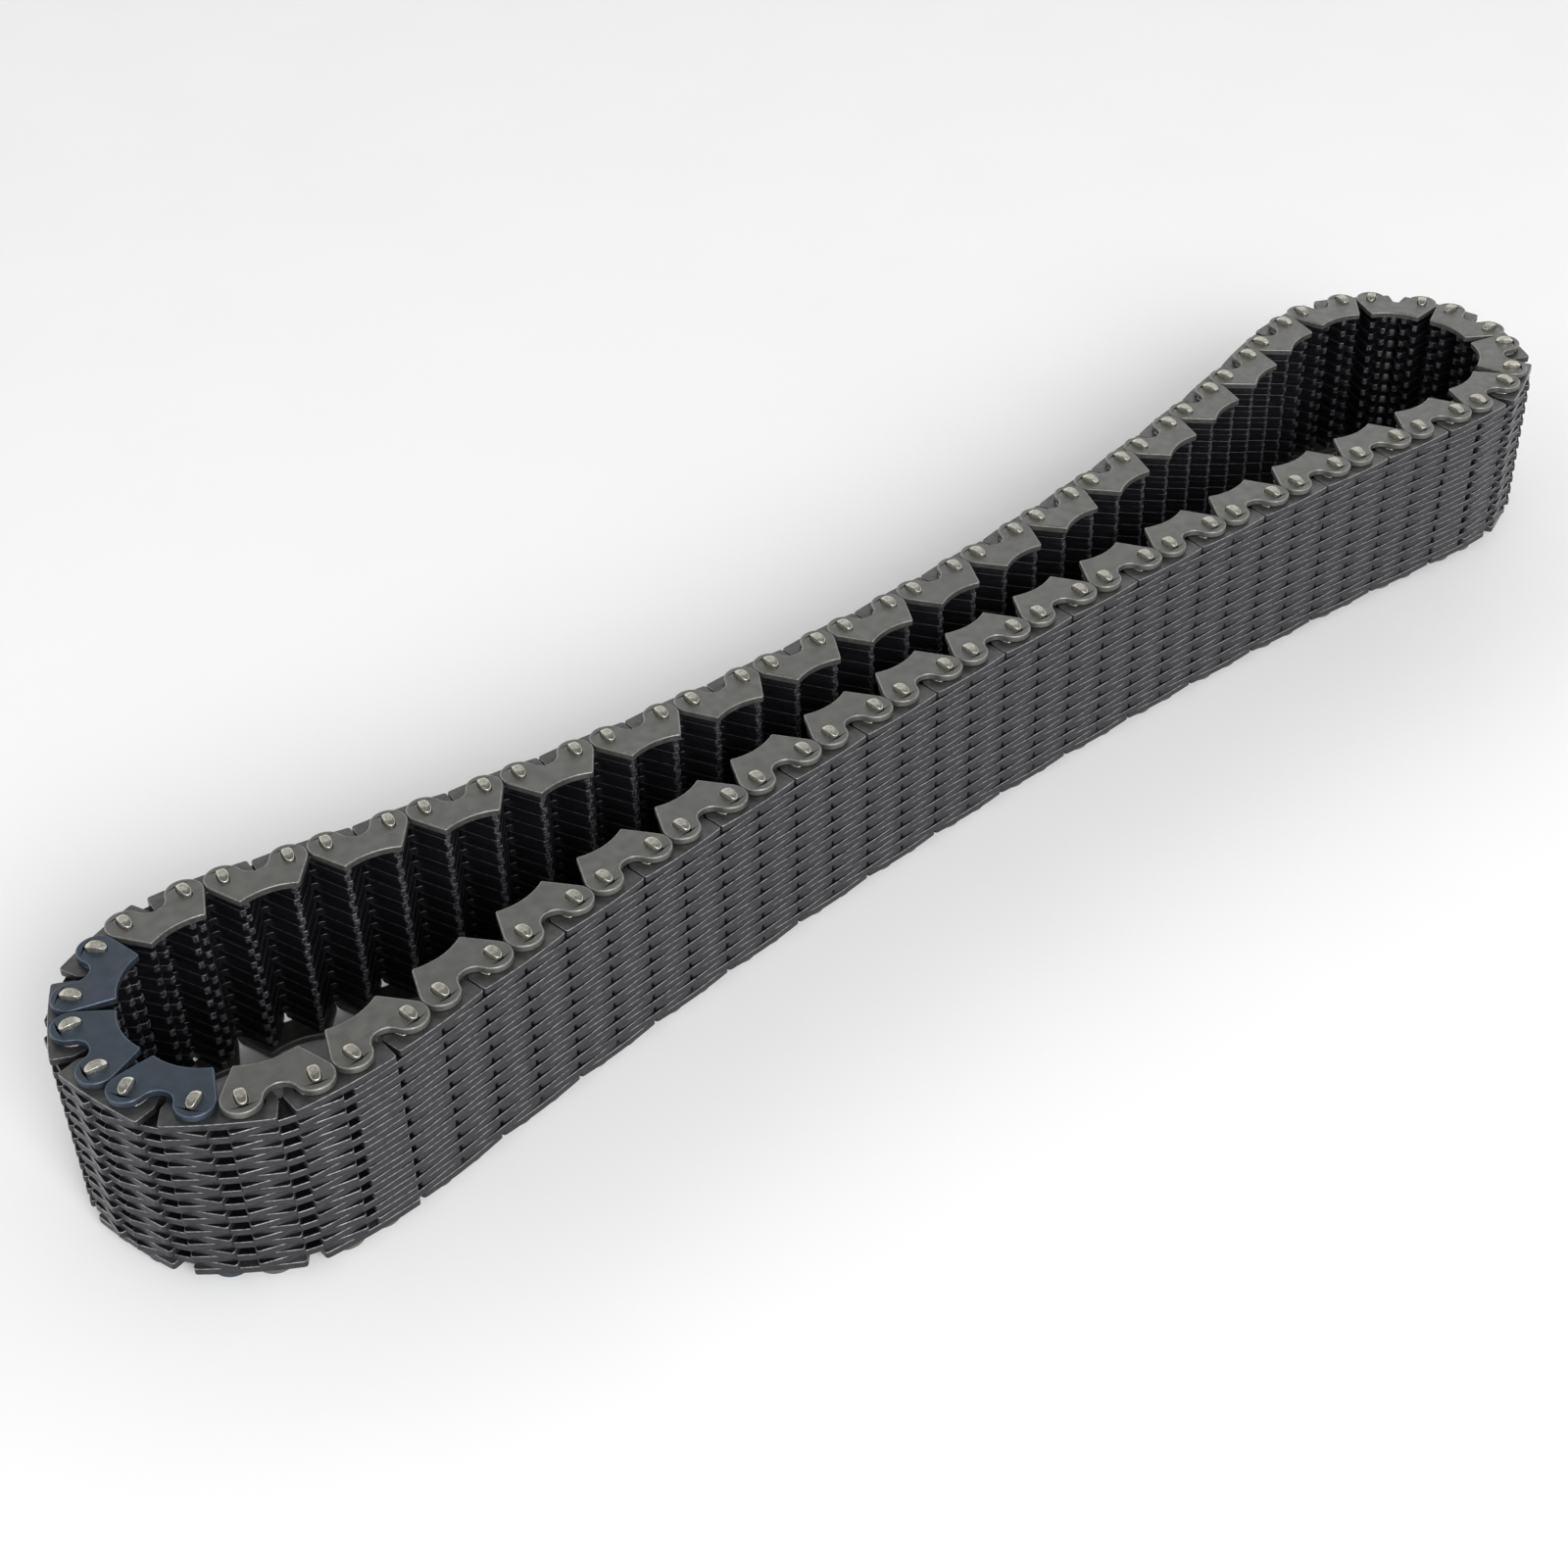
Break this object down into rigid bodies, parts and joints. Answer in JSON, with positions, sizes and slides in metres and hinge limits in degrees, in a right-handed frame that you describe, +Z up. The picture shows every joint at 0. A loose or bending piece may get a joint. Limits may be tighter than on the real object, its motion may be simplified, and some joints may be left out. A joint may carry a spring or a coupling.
{
  "type": "inverted-tooth drive chain",
  "caption": "Endless inverted-tooth drive chain: laced toothed plates on rocker joints between outer guide plates, closed in a waisted loop that stands on its side edge.",
  "frame": {"origin": "on the surface that the loop stands on, under the middle of its bounding box", "axes": "+X along the loop from the end with dark guide plates to the plain end, +Y across the loop, +Z up along the pins"},
  "size_m": [0.3774, 0.0656, 0.0401],
  "materials": {
    "guide_plate": "heat-treated grey steel with a light oil film, rolled bright edges",
    "dark_guide_plate": "dark blued steel that marks three neighbouring guide links",
    "toothed_plate": "dark oiled steel with brighter sheared edges",
    "pin": "ground pale steel with riveted ends",
    "rocker": "ground pale steel"
  },
  "bodies": {
    "segment_01": {"guide_plates_01": "guide_plate", "toothed_plates_01": "toothed_plate", "pins_01": "pin", "rockers_01": "rocker"},
    "segment_02": {"guide_plates_02": "guide_plate", "toothed_plates_02": "toothed_plate", "pins_02": "pin", "rockers_02": "rocker"},
    "segment_03": {"guide_plates_03": "guide_plate", "toothed_plates_03": "toothed_plate", "pins_03": "pin", "rockers_03": "rocker"},
    "segment_04": {"guide_plates_04": "guide_plate", "toothed_plates_04": "toothed_plate", "pins_04": "pin", "rockers_04": "rocker"},
    "segment_05": {"guide_plates_05": "guide_plate", "toothed_plates_05": "toothed_plate", "pins_05": "pin", "rockers_05": "rocker"},
    "segment_06": {"guide_plates_06": "guide_plate", "toothed_plates_06": "toothed_plate", "pins_06": "pin", "rockers_06": "rocker"},
    "segment_07": {"guide_plates_07": "guide_plate", "toothed_plates_07": "toothed_plate", "pins_07": "pin", "rockers_07": "rocker"},
    "segment_08": {"guide_plates_08": "guide_plate", "toothed_plates_08": "toothed_plate", "pins_08": "pin", "rockers_08": "rocker"},
    "segment_09": {"guide_plates_09": "guide_plate", "toothed_plates_09": "toothed_plate", "pins_09": "pin", "rockers_09": "rocker"},
    "segment_10": {"guide_plates_10": "guide_plate", "toothed_plates_10": "toothed_plate", "pins_10": "pin", "rockers_10": "rocker"},
    "segment_11": {"guide_plates_11": "guide_plate", "toothed_plates_11": "toothed_plate", "pins_11": "pin", "rockers_11": "rocker"},
    "segment_12": {"guide_plates_12": "guide_plate", "toothed_plates_12": "toothed_plate", "pins_12": "pin", "rockers_12": "rocker"},
    "segment_13": {"guide_plates_13": "guide_plate", "toothed_plates_13": "toothed_plate", "pins_13": "pin", "rockers_13": "rocker"},
    "segment_14": {"guide_plates_14": "dark_guide_plate", "toothed_plates_14": "toothed_plate", "pins_14": "pin", "rockers_14": "rocker"}
  },
  "joints": [
    {"name": "joint_14_01", "type": "hinge", "parent": "segment_14", "child": "segment_01", "pos_m": [-0.16931, -0.02465, 0.02005], "axis": [0, 0, 1], "range_deg": [-16, 2]},
    {"name": "joint_01_02", "type": "hinge", "parent": "segment_01", "child": "segment_02", "pos_m": [-0.11287, -0.02338, 0.02005], "axis": [0, 0, 1], "range_deg": [-0.61, 4.73]},
    {"name": "joint_02_03", "type": "hinge", "parent": "segment_02", "child": "segment_03", "pos_m": [-0.05592, -0.01868, 0.02005], "axis": [0, 0, 1], "range_deg": [-0.77, 5.92]},
    {"name": "joint_03_04", "type": "hinge", "parent": "segment_03", "child": "segment_04", "pos_m": [0.0012, -0.01695, 0.02005], "axis": [0, 0, 1], "range_deg": [-0.83, 6.37]},
    {"name": "joint_04_05", "type": "hinge", "parent": "segment_04", "child": "segment_05", "pos_m": [0.05833, -0.0182, 0.02005], "axis": [0, 0, 1], "range_deg": [-0.77, 5.94]},
    {"name": "joint_05_06", "type": "hinge", "parent": "segment_05", "child": "segment_06", "pos_m": [0.11531, -0.02242, 0.02005], "axis": [0, 0, 1], "range_deg": [-0.61, 4.68]},
    {"name": "joint_06_07", "type": "hinge", "parent": "segment_06", "child": "segment_07", "pos_m": [0.17146, -0.02169, 0.02005], "axis": [0, 0, 1], "range_deg": [-16.35, 2.12]},
    {"name": "joint_14_13", "type": "hinge", "parent": "segment_14", "child": "segment_13", "pos_m": [-0.17042, 0.02248, 0.02005], "axis": [0, 0, 1], "range_deg": [-1.63, 12.53]},
    {"name": "joint_13_12", "type": "hinge", "parent": "segment_13", "child": "segment_12", "pos_m": [-0.11476, 0.01777, 0.02005], "axis": [0, 0, 1], "range_deg": [-7.01, 0.91]},
    {"name": "joint_12_11", "type": "hinge", "parent": "segment_12", "child": "segment_11", "pos_m": [-0.05831, 0.00901, 0.02005], "axis": [0, 0, 1], "range_deg": [-5.3, 0.69]},
    {"name": "joint_11_10", "type": "hinge", "parent": "segment_11", "child": "segment_10", "pos_m": [-0.00126, 0.0062, 0.02005], "axis": [0, 0, 1], "range_deg": [-4.83, 0.63]},
    {"name": "joint_10_09", "type": "hinge", "parent": "segment_10", "child": "segment_09", "pos_m": [0.05578, 0.00936, 0.02005], "axis": [0, 0, 1], "range_deg": [-5.33, 0.69]},
    {"name": "joint_09_08", "type": "hinge", "parent": "segment_09", "child": "segment_08", "pos_m": [0.11217, 0.01847, 0.02005], "axis": [0, 0, 1], "range_deg": [-7.13, 0.93]}
  ],
  "couplings": [
    {"joint": "joint_01_02", "follows": "joint_14_01", "ratio": -0.2942},
    {"joint": "joint_02_03", "follows": "joint_14_01", "ratio": -0.3677},
    {"joint": "joint_03_04", "follows": "joint_14_01", "ratio": -0.3957},
    {"joint": "joint_04_05", "follows": "joint_14_01", "ratio": -0.3693},
    {"joint": "joint_05_06", "follows": "joint_14_01", "ratio": -0.2906},
    {"joint": "joint_06_07", "follows": "joint_14_01", "ratio": 1.0162},
    {"joint": "joint_14_13", "follows": "joint_14_01", "ratio": -0.7786},
    {"joint": "joint_13_12", "follows": "joint_14_01", "ratio": 0.4354},
    {"joint": "joint_12_11", "follows": "joint_14_01", "ratio": 0.3297},
    {"joint": "joint_11_10", "follows": "joint_14_01", "ratio": 0.3005},
    {"joint": "joint_10_09", "follows": "joint_14_01", "ratio": 0.3314},
    {"joint": "joint_09_08", "follows": "joint_14_01", "ratio": 0.4429}
  ]
}
